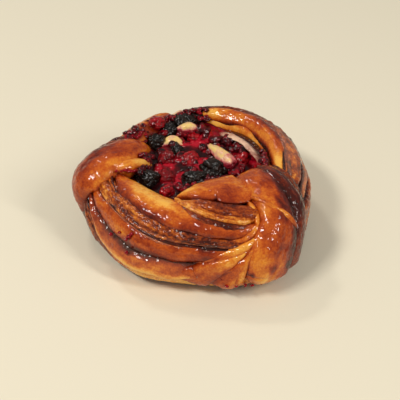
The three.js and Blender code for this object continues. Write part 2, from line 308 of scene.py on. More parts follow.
# The browning of the crust together with its painted shade, which picks the colour off the ramps
browning_and_shade = add_up(tree, [tone, patchy, streaky, mottled, grain, lines_here, painted_crease_shade])
skin_colour = set_ramp(add(tree, "ValToRGB", {0: browning_and_shade}), CRUST_COLOURS).outputs["Color"]
cut_colour = set_ramp(add(tree, "ValToRGB", {0: browning_and_shade}), CUT_COLOURS).outputs["Color"]
crust_colour = add(tree, "Mix", {0: cut, 6: skin_colour, 7: cut_colour}, data_type="RGBA").outputs[2]
pale_colour = add(tree, "Mix", {0: pale, 6: crust_colour, 7: linear(PALE_DOUGH)},
                  data_type="RGBA").outputs[2]
final_colour = add(tree, "Mix", {0: soaked, 6: pale_colour, 7: linear(JAM_SOAKED)},
                   data_type="RGBA").outputs[2]
swells = add(tree, "Math", {0: pimples, 1: 0.3}, operation="MULTIPLY").outputs[0]
rough_cut = add_up(tree, [layers, crinkle])
cut_relief = add(tree, "Math", {0: rough_cut, 1: cut}, operation="MULTIPLY").outputs[0]
relief = add_up(tree, [cut_relief, swells])
bump = add(tree, "Bump", {"Height": relief, "Distance": CRUST_RELIEF * MM}).outputs["Normal"]
glaze_bump = add(tree, "Bump", {"Height": glaze, "Distance": GLAZE_RELIEF * MM,
                                "Normal": bump}).outputs["Normal"]
finish_surface(tree, {"Base Color": final_colour, "Normal": bump, "Coat Normal": glaze_bump,
                      "Roughness": 0.5, "IOR": 1.45, "Specular IOR Level": 0.05,
                      "Coat Weight": 0.85, "Coat Roughness": 0.04, "Coat IOR": 1.45})

turns, overs = 360, 96
around, over = np.meshgrid(np.arange(turns) * 360 / turns, np.arange(overs) * 360 / overs - 90,
                           indexing="ij")
points, normals = ring_point(around, over), ring_normal(around, over)
bed = STRAND_BED * smooth(-0.9, -0.3, np.sin(np.radians(over)))
points = points + normals * (0.5 * lumps(points, BED_LUMP_SIZE, 11) - bed)[..., None]
points[..., 2] = np.maximum(points[..., 2], 0.0)
hollow_side = smooth(110, 150, over)
# Tone of the bed: darker above, where it only shows in the creases between the strands, as painted shade
# there; paler on the flat underside
bed_browning_and_crease_shade = 0.62 - 0.12 * smooth(-30, -60, over) * (over < 0) + 0.1 * (over > 0)
run = np.stack([over * 0.5, around * 0.9, np.full_like(over, 3.0)], -1)
ring_bed = {
    "points": points.reshape(-1, 3),
    "quads": grid_quads(turns, overs, True),
    "triangles": np.zeros((0, 3), int),
    "values": {"tone": bed_browning_and_crease_shade.ravel(), "cut": np.full(over.size, 0.35),
               "jam": hollow_side.ravel(), "pale": np.zeros(over.size),
               "strand": run.reshape(-1, 3)},
}

# The floor under the jam: a disc whose radius is a root of a sine of its share of thickness.
spokes, rings = 96, 40
share = np.linspace(0.02, 0.98, rings)
slice_turn = np.pi * share[:, None]
angle = 2 * np.pi * np.arange(spokes)[None, :] / spokes
reach = FLOOR_RADIUS * np.sin(slice_turn) ** 0.35
disc = np.stack([HOLLOW_MIDDLE[0] + reach * np.cos(angle), HOLLOW_MIDDLE[1] + reach * np.sin(angle),
                 np.broadcast_to(0.1 + FLOOR_THICKNESS * share[:, None] ** 2, (rings, spokes))], -1)
poles = np.array([[*HOLLOW_MIDDLE, 0.1], [*HOLLOW_MIDDLE, FLOOR_THICKNESS + 0.1]])
disc = np.concatenate([disc.reshape(-1, 3), poles]) + RING_MIDDLE
none = np.zeros(len(disc))
floor_disc = capped_grid(disc, rings, spokes, {"tone": none + 0.5, "cut": none + 0.2, "jam": none,
                                               "pale": none, "strand": disc})
piece = mesh_piece("dough_ring_body", [ring_bed, floor_disc], crust)
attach(piece, "root")
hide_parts("dough")


# ---- Back band ----
# Five strands of the cut and twisted dough that run side by side round the outer wall, from
# under the left loop behind the bun to under the right loop, shingled like roof tiles.
def line_value(values, place):
    """Value on an open smooth line through evenly spaced values, for places from 0 to 1."""
    values = np.asarray(values, float)
    if values.ndim == 0:
        return np.full_like(place, values)
    ends = np.concatenate([[2 * values[0] - values[1]], values, [2 * values[-1] - values[-2]]])
    spot = np.clip(place, 0, 1) * (len(values) - 1)
    first = np.minimum(np.floor(spot).astype(int), len(values) - 2)
    return between(*(ends[first + k] for k in range(4)), spot - first)


FOOT_GAP = 0.25         # between the strands and the table
SECTION_POWER = 0.85    # under 1 makes the oval section a little square
SWAYS = 19.0, 15.0, 13.0    # along a strand between its sways round, over and up
RIDGE_SWAY = 13.0       # along a strand between the sways of its ridges
RIDGE_LENGTH = 9.0      # before a ridge dies out
CRINKLE_SIZES = 2.0, 1.2
CRINKLE_HEIGHT = 0.42
FOLD_WIDTH = 3.0        # folds of the skin run along a strand
FOLD_LENGTH = 9.0
FOLD_HEIGHT = 0.18
SWELL_SIZES = 3.5, 9.0
BLISTER_SIZE = 8.0      # patches of the skin with more pimples
PIMPLE_SIZES = 1.8, 1.1
BROWNING_SIZES = 9.0, 4.0, 1.8
CHAR = 0.35             # heat that a charred spot adds


def strand(around, over, lift, half, thick, tone, left=0.1, right=0.1, edge=0.3, cut=0.0,
           span=(-1.1, 1.1), tilt=0.0, page=2.6, ridges=0.5, jam=0.0, pale=0.0, skin=1.0,
           mottle=1.0, wave=1.0, fullness=6, spacing=0.45, burns=(), seed=1):
    """A strand of dough: a rounded oval section carried along a smooth line of stations on the
    ring, given by around, over and lift. The section is half wide to each side of its middle
    and thick high, closes to a point at both ends by a root of 1 - |x|^fullness, and its left
    side, seen from outside along its run, stands up by tilt. On the cut part of its width,
    span, it is crinkled and carries ridges a page apart, which wander and die out. tone, cut,
    jam and pale run from end to end by stations of their own; left and right darken a side.
    burns are charred spots: around, over, lift and radius in mm."""
    coarse = np.linspace(0, 1, 40)
    coarse_line = ring_point(line_value(around, coarse), line_value(over, coarse))
    length = np.linalg.norm(np.diff(coarse_line, axis=0), axis=1).sum()
    steps = max(24, int(length / spacing))
    t = np.linspace(0, 1, steps + 1)[1:-1]
    u = t - 0.05 * np.sin(2 * np.pi * t)    # rows lie closer together towards the ends

    def crest_line(u):
        """The strand's top line at places u, and the ring's normals there."""
        run = np.stack([u * length, 0 * u, 0 * u], -1)
        turn = line_value(around, u) + wave * lumps(run, SWAYS[0], seed)
        rise = line_value(over, u) + 1.4 * wave * lumps(run, SWAYS[1], seed + 50)
        normal = ring_normal(turn, rise)
        height = line_value(lift, u) + 0.35 * wave * lumps(run, SWAYS[2], seed + 90)
        return ring_point(turn, rise) + normal * height[:, None], normal

    crest, normal = crest_line(u)
    forward = unit(crest_line(u + 0.004)[0] - crest_line(u - 0.004)[0])
    side = unit(np.cross(normal, forward))
    normal = np.cross(forward, side)
    full = np.sqrt(1 - np.abs(2 * u - 1) ** fullness)
    deep = line_value(thick, u)
    wide, high = line_value(half, u) * full, deep * full
    middle = crest - normal * (deep * (0.5 + 0.5 * full))[:, None]
    columns = int(max(20, 4.2 * np.max(wide) / spacing))
    turn = np.linspace(0, 2 * np.pi, columns, endpoint=False)
    turn = turn + 0.45 * np.cos(turn)       # and corners on top of the section
    flat = np.sign(np.cos(turn)) * np.abs(np.cos(turn)) ** SECTION_POWER
    up = np.sign(np.sin(turn)) * np.abs(np.sin(turn)) ** SECTION_POWER
    across = flat[None, :] * wide[:, None]
    rise = up[None, :] * high[:, None] + tilt * across * smooth(-0.2, 0.6, up)[None, :]
    along = np.broadcast_to((u * length)[:, None], across.shape)
    points = (middle[:, None] + side[:, None] * across[..., None]
              + normal[:, None] * rise[..., None])
    out = unit(side[:, None] * flat[None, :, None] + normal[:, None] * up[None, :, None])

    # Relief: ridges and crinkles on the cut face; folds, swells and blisters on the skin
    tone, left, right, cut, jam, pale = (line_value(field, u)[:, None]
                                         for field in (tone, left, right, cut, jam, pale))
    top = smooth(-0.1, 0.5, up)[None, :]
    relative = flat[None, :] + 0 * across
    face = cut * smooth(span[0] - 0.15, span[0] + 0.15, relative) \
        * (1 - smooth(span[1] - 0.15, span[1] + 0.15, relative)) * top
    run = np.stack([along, 0 * along, 0 * along + 9.1 * seed], -1)
    phase = (across + 1.6 * lumps(run, RIDGE_SWAY, seed + 7)) / page + 0.37 * seed
    number, saw = np.floor(phase), phase - np.floor(phase)
    along_ridge = np.stack([along / RIDGE_LENGTH, number * 3.7, 0 * along], -1)
    strength = 0.5 + 0.5 * lumps(along_ridge, 1.0, seed + 3)
    profile = smooth(0.0, 0.45, saw) * (1 - smooth(0.6, 1.0, saw))
    ridge = face * strength * profile * ridges * page * 0.5
    crinkle = (0.6 * lumps(points, CRINKLE_SIZES[0], seed + 8)
               + 0.6 * lumps(points, CRINKLE_SIZES[1], seed + 9))
    flow = np.stack([across / FOLD_WIDTH, along / FOLD_LENGTH, 0 * along + 5.3 * seed], -1)
    fold = lumps(flow, 1.0, seed + 30) + 0.5 * lumps(flow * 2.1, 1.0, seed + 31)
    smooth_skin = skin * (1 - face) * top
    swells = skin * (0.15 * lumps(points, SWELL_SIZES[0], seed + 5)
                     + 0.4 * lumps(points, SWELL_SIZES[1], seed + 6))
    blister = 0.4 + smooth(-0.4, 0.5, lumps(points, BLISTER_SIZE, seed + 12))
    pimple = (0.07 * lumps(points, PIMPLE_SIZES[0], seed + 10)
              + 0.025 * lumps(points, PIMPLE_SIZES[1], seed + 11))
    rise = ridge + CRINKLE_HEIGHT * face * crinkle
    rise = rise + smooth_skin * (FOLD_HEIGHT * fold + blister * pimple) + swells * top
    points = points + out * rise[..., None]
    points[..., 2] = np.maximum(points[..., 2], FOOT_GAP)

    # Tone: darker towards the edges and to either side, down at the foot of ridges, in crinkles and
    # folds, and round charred spots
    # Towards both edges: partly browned edges, partly painted shade of the creases between strands
    shade = tone + edge * smooth(0.65, 1.0, np.abs(relative))
    # left and right darken a side (a value below 0 lightens it): partly browning, partly painted shade on
    # a side that faces away from the lamps
    shade = shade + left * smooth(0.05, 0.95, relative)
    shade = shade + right * smooth(0.05, 0.95, -relative)
    shade = shade + 0.2 * face * strength * (1 - profile) - 0.12 * face * crinkle
    browned = (0.1 * lumps(points, BROWNING_SIZES[0], seed + 20)
               + 0.05 * lumps(points, BROWNING_SIZES[1], seed + 21))
    shade = shade - 0.06 * smooth_skin * fold + mottle * browned
    shade = shade + 0.03 * lumps(points, BROWNING_SIZES[2], seed + 22)
    for burn_around, burn_over, burn_lift, radius in burns:
        spot = np.array([burn_around]), np.array([burn_over])
        middle_spot = ring_point(*spot)[0] + burn_lift * ring_normal(*spot)[0]
        gap = np.linalg.norm(points - middle_spot, axis=-1) + 0.8 * lumps(points, 1.5, seed + 60)
        shade = shade + CHAR * smooth(radius, 0.1 * radius, gap)

    tips = np.array([0.0, 1.0])
    end_points, end_normals = crest_line(tips)
    ends = end_points - end_normals * 0.5 * line_value(thick, tips)[:, None]
    ends[:, 2] = np.maximum(ends[:, 2], FOOT_GAP)

    def closed(field):
        """The field at every corner of the grid, and at the two poles what is next to them."""
        field = np.broadcast_to(field, across.shape).reshape(-1)
        return np.concatenate([field, [field[0], field[-1]]])

    place = np.stack([across, along, np.full_like(across, 7.3 * seed)], -1).reshape(-1, 3)
    return capped_grid(np.concatenate([points.reshape(-1, 3), ends]), len(u), columns, {
        "tone": closed(shade),
        "cut": closed(face),
        "jam": closed(jam),
        "pale": closed(pale),
        "strand": np.concatenate([place, place[[0, -1]]]),
    })


def dough_piece(name, strands):
    """Joins strands into one piece of the dough."""
    piece = mesh_piece(name, strands, crust)
    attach(piece, "root")
    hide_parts("dough")


# The five strands of the wall share these, and lie a little open so that each edge shows
wall = dict(lift=[-4, 0, 0, 0, 0, -1, -5], thick=6, spacing=0.6, tilt=0.22, right=0.1, left=0.22,
            wave=1.4, mottle=1.5)
dough_piece("back_band", [
    strand(around=[186, 150, 110, 70, 30, -4, -32], over=[-24, -30, -26, -31, -27, -33, -32],
        half=[6, 7, 5.5, 6.5, 6, 6.5, 6], tone=[0.45, 0.36, 0.3, 0.38, 0.34, 0.5, 0.6],
        cut=[0.8, 0.3, 0.6, 0.3, 0.6, 0.9, 0.8], seed=1, **wall),
    strand(around=[184, 150, 110, 70, 30, -4, -32], over=[-2, -10, -5, -11, -6, -15, -16],
        half=[5.5, 6, 5, 6.5, 5, 6, 5.5], tone=[0.4, 0.26, 0.34, 0.24, 0.32, 0.42, 0.5],
        cut=[0.7, 0.2, 0.7, 0.2, 0.5, 0.8, 0.8], seed=2, **wall),
    strand(around=[178, 150, 110, 70, 30, -4, -32], over=[16, 8, 13, 7, 10, 1, 0],
        half=[5, 5.5, 4.5, 5, 5.5, 5, 5], tone=[0.4, 0.34, 0.2, 0.32, 0.3, 0.38, 0.5],
        cut=[0.7, 0.6, 0.1, 0.6, 0.7, 0.8, 0.8], pale=[0, 0, 0, 0, 0.1, 0.1, 0], seed=3, **wall),
    strand(around=[172, 150, 110, 70, 30, -4, -32], over=[30, 30, 26, 29, 22, 17, 12],
        half=[5, 4.5, 5.5, 5, 5, 5, 5], tone=[0.4, 0.22, 0.32, 0.22, 0.36, 0.4, 0.5],
        cut=[0.6, 0.2, 0.5, 0.1, 0.7, 0.8, 0.8], pale=[0, 0, 0, 0, 0.15, 0.15, 0], seed=4, **wall),
    strand(around=[166, 140, 110, 70, 30, -4, -32], over=[46, 42, 46, 40, 37, 31, 28],
        half=[4.5, 5, 4.5, 5, 4.5, 4.5, 4.5], tone=[0.4, 0.3, 0.22, 0.32, 0.38, 0.42, 0.5],
        cut=[0.5, 0.5, 0.2, 0.6, 0.8, 0.8, 0.8], pale=[0, 0, 0, 0, 0.1, 0.1, 0], seed=5, **wall),
])


# ---- Inner leaves of the back band ----
# Thin-edged leaves of the same dough on top of the band. The two inner ones start as pale
# pointed tips by the berries, and thin dark layers show between them where the knife cut.
rind = dict(around=[122, 92, 62, 38, 18, -2, -18, -32], lift=[-1, 0.5, 0.5, 0.5, 0, 0, -1, -3])
dough_piece("back_band_leaves", [
    strand(over=[56, 54, 48, 42, 36, 31, 27, 23], half=3.2, thick=5, tilt=0.3,
        tone=[0.6, 0.55, 0.5, 0.45, 0.4, 0.4, 0.45, 0.6], left=-0.1, right=0.35, cut=0.7, ridges=0.2,
        jam=[0.1, 0.05, 0, 0, 0, 0, 0, 0], seed=31, **rind),
    strand(over=[62, 59, 54, 52, 50, 46, 41, 36], half=1.8, thick=3, tilt=0.4,
        tone=[0.5, 0.5, 0.4, 0.3, 0.25, 0.25, 0.3, 0.5], left=0, right=0.3, cut=0.6, ridges=0.1,
        pale=[0, 0, 0.05, 0.2, 0.25, 0.25, 0.1, 0], skin=0.6, seed=32, **rind),
    strand(over=[67, 64, 60, 59, 57, 54, 48, 42], half=1.2, thick=2.5, tone=0.8, left=0, right=0,
        edge=0.1, skin=0.5, seed=46, **rind),
    strand(over=[80, 77, 75, 78, 79, 76, 69, 60], half=[3, 3.6, 4.6, 5.8, 6.6, 6.6, 6, 5], thick=6,
        tilt=0.15, tone=[0.6, 0.6, 0.5, 0.42, 0.38, 0.38, 0.36, 0.5],
        left=[0, 0.1, 0.2, 0.25, 0.25, 0.2, 0.1, 0], right=[0.1, 0.1, 0.1, 0.05, 0, 0, 0, 0], edge=0.2,
        cut=[0.7, 0.7, 0.7, 0.7, 0.65, 0.65, 0.6, 0.4], page=2.8, ridges=0.55,
        jam=[0.15, 0.15, 0.05, 0, 0, 0, 0, 0], pale=[0, 0, 0.02, 0.08, 0.1, 0.08, 0, 0], skin=0.8,
        seed=33, **rind),
    strand(around=rind["around"], over=[90, 88, 88, 90, 89, 84, 73, 62],
        lift=[-1.5, 0, 0, 0, 0.2, 0.4, 0, -2], half=1.3, thick=3, tilt=0.4,
        tone=[0.6, 0.55, 0.5, 0.5, 0.5, 0.5, 0.5, 0.6], left=0, right=0, edge=0.2, cut=0.9, ridges=0.1,
        jam=[0.5, 0.5, 0.1, 0, 0, 0, 0, 0], pale=0.1, skin=0.5, seed=43),
    strand(around=rind["around"], over=[96, 94, 94, 96, 95, 90, 79, 68],
        lift=[-1.5, -0.4, -0.2, 0, 0.2, 0, -1.4, -3], half=1, thick=3, tone=0.8, left=0, right=0,
        edge=0.1, jam=[0.5, 0.4, 0.1, 0, 0, 0, 0, 0], skin=0.4, seed=44),
    strand(around=[97, 86, 70, 50, 30, 10, -8, -27], over=[118, 114, 111, 111, 112, 108, 96, 83],
        lift=[-1, 0.8, 1.3, 1.6, 1.5, 1.3, 0.2, -3], half=[1.6, 4.2, 5.8, 6.4, 6.4, 6, 5.4, 5], thick=7,
        tilt=0.1, tone=[-0.12, -0.04, 0.14, 0.24, 0.22, 0.16, 0.02, 0.2],
        left=[0, 0, 0.05, 0.15, 0.2, 0.1, 0, 0], right=[0, 0.2, 0.7, 0.9, 0.9, 0.8, 0.4, 0], edge=0.1,
        jam=[0.3, 0.05, 0, 0, 0, 0, 0.05, 0.4], skin=0.9, fullness=3, seed=34),
    strand(around=[82, 74, 62, 48, 32, 18], over=[124, 123.5, 122, 122.5, 124, 123],
        lift=[-1, 0.2, 0.4, 0.4, 0.2, -1], half=1.1, thick=2.4, tilt=0.2,
        tone=[0.3, 0.5, 0.65, 0.75, 0.7, 0.6], cut=0.7, skin=0.5, wave=0.6, seed=35),
    strand(around=[99, 90, 76, 58, 40, 24, 8, -8], over=[135, 134.5, 133, 131.5, 132.5, 134, 133, 125],
        lift=[-1, 0.4, 0.8, 0.9, 1, 1, 0.6, -1], half=[1.4, 4.2, 5.4, 5.8, 5.8, 5.6, 5, 3.4], thick=7,
        tone=[-0.14, -0.12, -0.02, 0.08, 0.12, 0.1, 0.04, 0], left=[0, 0, 0.15, 0.3, 0.35, 0.3, 0.1, 0],
        right=[0, 0, 0.1, 0.2, 0.3, 0.3, 0.2, 0.1], edge=0.1, jam=[0.36, 0.1, 0, 0, 0, 0, 0.05, 0.3],
        skin=0.9, fullness=3, seed=36),
])


# ---- Thin leaf along the hollow ----
# A thin flap of the lowest layer that stands among the fruit, with a dark layer at its foot: it
# baked least, so it stayed nearly white, and juice stained it pink.
dough_piece("pale_leaf", [
    strand(around=[74, 65, 52, 34, 12, -10], over=[141, 140, 138.5, 138, 138, 132],
        lift=[4.4, 7.2, 8, 8.2, 7, 3], half=[0.6, 1, 1.1, 1.2, 1.1, 0.8], thick=6, tone=0, left=0.15,
        right=0, edge=0, cut=0.8, jam=[0.44, 0.38, 0.32, 0.34, 0.38, 0.46],
        pale=[0.9, 0.9, 0.9, 0.9, 0.9, 0.8], seed=9),
    strand(around=[68, 56, 42, 20, -2], over=[137, 136, 135, 134, 130], lift=[2, 4, 4.6, 4.4, 1],
        half=0.7, thick=5, tone=[0.5, 0.7, 0.75, 0.7, 0.5], edge=0.1, skin=0.5, wave=0.8, seed=48),
])


# ---- Back left lobe ----
# Where the band ends under the fruit, two short strands carry the heap of berries; juice ran
# over them and soaked in, and a thin cream edge crosses their ends.
dough_piece("back_left_lobe", [
    strand(around=[172, 158, 140, 124, 107], over=[62, 66, 69, 71, 72], lift=[-3, -1, 0.6, 2, 1.4],
        half=[7.5, 7.5, 7.5, 7, 4.5], thick=7, tone=[0.4, 0.28, 0.22, 0.18, 0.3], edge=0.12, cut=0.3,
        jam=[0, 0, 0, 0.08, 0.12], seed=10),
    strand(around=[174, 160, 142, 124, 106], over=92, lift=[-3, -1, 0.5, 1.5, 1], half=8, thick=8,
        tone=[0.3, 0.24, 0.28, 0.34, 0.4], left=-0.1, right=-0.05, edge=0.04, cut=0.4,
        jam=[0, 0.2, 0.34, 0.28, 0.25], seed=11),
    strand(around=[118, 115.5, 110, 105, 101, 98], over=[114, 106, 98, 90, 80, 70],
        lift=[0.4, 1.3, 1.4, 1.1, 0.5, -1], half=1.1, thick=3, tone=0.02, edge=0, cut=0.2,
        jam=[0.3, 0.1, 0.1, 0.1, 0.1, 0.2], pale=[0.5, 0.6, 0.7, 0.7, 0.6, 0.4], skin=0.5, wave=0.6,
        seed=37),
])


# ---- Front band ----
# Strands of the twist that come out from under the left loop and run under the right one.
# The skin that faced up is smooth and glossy; where the knife cut, layers stand as crinkled
# strips with thin dark edges between.
# The stations that most of its strands share, and two runs of lift
front = dict(around=[184, 198, 212, 228, 245, 262, 280, 298, 310])
under = [-3, -0.5, 0, 0, 0, 0, 0, 0, -2]
lower = [-3, -1, -0.4, -0.4, -0.4, -0.4, -0.4, -0.4, -2]
dough_piece("front_band_upper", [
    strand(over=[98, 95, 93, 91, 85, 71, 60.5, 54, 58], lift=[-3, -0.3, 0.4, 0.6, 0.8, 0.8, 0.5, 0.2, -2],
        half=[3, 5, 8.5, 9, 10, 9.4, 7.4, 5.6, 3], thick=8, tilt=-0.15,
        tone=[0.36, 0.28, 0.18, 0.06, 0.06, 0.28, 0.42, 0.4, 0.1],
        left=[-0.1, -0.2, -0.2, -0.08, 0.1, 0.5, 0.9, 0.9, 0.1],
        right=[0.1, 0.15, 0.3, 0.4, 0.34, 0.12, 0, 0, 0.05], edge=0.12,
        cut=[0.4, 0.3, 0.2, 0.2, 0.1, 0, 0.1, 0.3, 0.4], span=(-1.1, -0.6), skin=0.9, seed=12, **front),
    strand(over=[86, 79, 72, 65, 57, 46, 41, 42, 52], lift=lower,
        half=[2, 2.8, 4.2, 5.4, 5.8, 5, 4, 3, 1.5], thick=5, tilt=-0.1,
        tone=[0.34, 0.3, 0.26, 0.26, 0.32, 0.46, 0.5, 0.4, 0.1],
        left=[0, 0.1, 0.2, 0.25, 0.3, 0.35, 0.4, 0.2, 0.1], right=[0.1, 0.1, 0.1, 0.05, 0, 0, 0.05, 0, 0],
        edge=0.15, cut=0.9, seed=13, **front),
    strand(around=[184, 196, 210, 226, 242, 252], over=[80, 69, 61, 53, 46, 41],
        lift=[-3, -0.6, -0.3, -0.3, -0.6, -1], half=[3, 3.8, 3.6, 2.8, 2, 1], thick=5,
        tone=[0.3, 0.32, 0.34, 0.36, 0.45, 0.6], left=0.15, right=0, cut=0.9, seed=14),
    # Two thin dark strands along the groove under the top strand, one on the left half of the band and
    # one on the right: partly a dark cut layer, partly painted shade down in the groove
    strand(around=[188, 196, 205, 214, 222, 231, 240], over=[90, 83, 75, 66, 56.5, 51, 49],
        lift=[-2.5, -1, -0.8, -0.7, -0.6, -0.8, -1.5], half=0.7, thick=2, tone=0.7, left=0, right=0,
        edge=0, skin=0.3, wave=0.3, seed=49),
    strand(around=[240, 252, 265, 274, 283, 293, 301], over=[66, 59, 52, 49, 47, 47, 50],
        lift=[-1.5, -0.8, -0.6, -0.6, -0.6, -0.8, -1.6], half=[0.5, 0.7, 0.8, 0.8, 0.8, 0.6, 0.5],
        thick=2, tone=0.72, left=0, right=0, edge=0, skin=0.3, wave=0.3, seed=50),
    strand(over=[78, 64, 55, 52, 45, 37.5, 35.5, 37, 46], lift=lower, half=1.2, thick=2.6, tone=0.42,
        right=0.25, edge=0.1, cut=0.9, ridges=0, pale=0.04, wave=0.5, seed=15, **front),
    strand(over=[75, 60.5, 52, 49.3, 42.3, 34.5, 32.5, 34, 43], lift=lower, half=0.9, thick=2.4,
        tone=0.72, left=0, right=0, edge=0.1, cut=0.6, skin=0.9, wave=0.5, seed=15, **front),
    strand(over=[72, 57.5, 49, 46.3, 39.3, 31.5, 29.5, 31, 40], lift=lower, half=0.6, thick=2, tone=0.34,
        left=0, right=0, edge=0.1, cut=0.4, pale=0.1, skin=0.9, wave=0.5, seed=15, **front),
])
dough_piece("front_band_lower", [
    strand(over=[66, 46, 35, 33.5, 29, 23, 23.5, 29, 40], lift=under,
        half=[3, 4.6, 7, 7.6, 7, 6.4, 5.4, 4, 2], thick=8, tilt=0.05,
        tone=[0.4, 0.28, 0.26, 0.27, 0.3, 0.33, 0.36, 0.26, 0.1],
        left=[0.1, 0.1, 0.04, 0.04, 0.06, 0.1, 0.15, 0.1, 0.1],
        right=[0.2, 0.5, 0.65, 0.65, 0.6, 0.45, 0.3, 0.3, 0.1], edge=0.1, cut=0.05, seed=16, **front),
    strand(over=[58, 35, 12, 10.5, 8.5, 4, 9, 20, 30], lift=[-3, 0.2, 0.7, 0.9, 0.8, 0.6, 0.3, 0, -2],
        half=[2, 2.6, 4.8, 5.6, 5.8, 5.6, 4, 3, 2], thick=5, tilt=-0.55,
        tone=[0.46, 0.44, 0.4, 0.34, 0.34, 0.35, 0.38, 0.36, 0.3],
        left=[0.1, 0.15, 0.28, 0.38, 0.42, 0.3, 0.15, 0, 0],
        right=[0, -0.1, -0.3, -0.5, -0.55, -0.4, -0.1, 0, 0], edge=0.1, cut=0.15, ridges=0.1,
        pale=[0, 0, 0.06, 0.06, 0.05, 0.05, 0, 0, 0], seed=17, **front),
    strand(over=[44, 14, -13, -15, -17, -20, -16, -4, 5], lift=lower, half=[4, 6, 7, 7, 7, 7, 6, 5, 4],
        thick=6, tilt=-0.1, tone=[0.5, 0.5, 0.42, 0.18, 0.04, 0, 0, 0.1, 0.2], left=0.12, right=-0.05,
        cut=[0.9, 0.9, 0.8, 0.6, 0.4, 0.3, 0.3, 0.3, 0.3], seed=18, **front),
])


# ---- Inner block ----
# The start of the twist, which stands up along the hollow in front: a smooth shoulder, under
# its step a crinkled glossy layer, and under that a pale lip and a dark layer on the band.
dough_piece("inner_block", [
    strand(around=[249, 257, 266, 276, 286, 296, 308, 322], over=[106, 106, 104, 105, 107, 105, 101, 100],
        lift=[0, 1.4, 2.2, 2.4, 2.7, 2.8, 2.6, 1.5], half=[1.5, 4, 6.5, 8, 10, 12.5, 14, 13], thick=4.5,
        tilt=0.1, tone=[0.02, 0.08, 0.18, 0.26, 0.32, 0.34, 0.3, 0.3],
        left=[0, -0.1, -0.1, -0.08, -0.08, -0.12, -0.15, 0], right=[0, 0.1, 0.1, 0.02, 0, 0, 0, 0],
        edge=0.1, skin=0.6, fullness=3, seed=19),
    strand(around=[253, 262, 272, 282, 292, 302, 312], over=[93, 87, 84.5, 81, 77, 71, 66],
        lift=[0, 0.9, 1.3, 1.3, 1.2, 1, 0], half=[1.5, 3, 3.8, 4.4, 5, 5, 4], thick=5, tilt=-0.1,
        tone=[0.2, 0.3, 0.36, 0.45, 0.5, 0.4, 0.1], left=[0.1, 0.2, 0.3, 0.2, 0.15, 0.1, 0],
        right=[-0.1, -0.15, -0.15, -0.05, 0, 0, 0], edge=0, cut=0.7, ridges=0.25, fullness=4, seed=20),
    strand(around=[250, 254, 262, 272, 282, 291, 299, 308],
        over=[101, 92, 82.5, 73.5, 67.5, 64, 62.5, 62], lift=[0, 0.8, 0.9, 0.9, 0.8, 0.7, 0.4, -1],
        half=[1.2, 2, 2.5, 2.8, 3, 3, 2.8, 1.5], thick=4,
        tone=[0.02, 0.1, 0.18, 0.24, 0.24, 0.2, 0.18, 0.2], left=0.2, right=-0.08, edge=0.1, cut=0.8,
        ridges=0.15, wave=0.8, seed=38),
    strand(around=[255, 264, 274, 284, 294, 304], over=[86, 74.5, 65, 59.5, 56, 55],
        lift=[-0.4, 0.9, 1, 0.95, 0.7, -0.6], half=[0.6, 1.7, 2.3, 2.6, 2.4, 1], thick=4,
        tone=[0.4, 0.52, 0.56, 0.58, 0.56, 0.4], right=-0.1, edge=0.1, cut=0.7, ridges=0.2, wave=0.8,
        seed=52),
])


# ---- Folded leaf ----
# The tail of the lowest strand, folded up over the end of the front band and tucked under
# the right loop: two flat facets, a thin edge and two narrow folds that stayed golden.
dough_piece("folded_leaf", [
    strand(around=[265, 268, 276, 285, 292, 300], over=[-30, -14, 3, 14, 23, 33],
        lift=[-2, 0, 0.9, 1.3, 1.2, 0.2], half=[8, 8.5, 7, 4.5, 2.8, 1.2], thick=4, tilt=0.1,
        tone=[0.3, 0.3, 0.26, 0.2, 0.14, 0.1], left=0, right=[0.1, 0.15, 0.2, 0.2, 0.1, 0], edge=0.1,
        skin=0.9, fullness=4, seed=21),
    strand(around=[280, 282, 286, 290, 294.5, 301], over=[-30, -14, 2, 13, 22, 33],
        lift=[-1.5, 0.4, 1, 1.2, 1, 0], half=[9, 9, 7, 4.5, 2.6, 1.2], thick=4, tilt=-0.1,
        tone=[0.34, 0.36, 0.36, 0.3, 0.2, 0.12], left=[0.1, 0.15, 0.15, 0.1, 0.05, 0], right=-0.1,
        edge=0.05, fullness=4, seed=45),
    strand(around=[289, 291, 293, 295, 298, 304], over=[-26, -8, 6, 18, 27, 38],
        lift=[-0.5, 0.8, 1.3, 1.3, 0.8, -0.4], half=[2.6, 2.6, 2.4, 2, 1.6, 0.8], thick=3,
        tone=[0.3, 0.26, 0.2, 0.18, 0.16, 0.2], edge=0.05, cut=0.2, skin=0.6, wave=0.5, seed=22),
    strand(around=[268, 275, 282, 289, 296, 302, 308], over=[10, 15.5, 22, 27.5, 34, 40.5, 50],
        lift=[-2.6, -1, 0.2, 0.5, 0.3, -0.4, -2], half=[1, 2.4, 3.2, 3.4, 2.8, 2, 1], thick=3.4,
        tone=[0.36, 0.34, 0.32, 0.26, 0.16, 0.1, 0.18], left=-0.05, right=0.15, edge=0.12, cut=0.1,
        skin=0.8, wave=0.6, seed=23),
    strand(around=[287, 294, 300, 305, 310], over=[44, 42.5, 47, 54, 64],
        lift=[-1.4, -0.3, -0.2, -0.5, -2], half=[1, 1.8, 2.2, 2, 1], thick=3,
        tone=[0.3, 0.24, 0.16, 0.14, 0.2], edge=0.15, cut=0.2, skin=0.6, wave=0.5, seed=39),
])


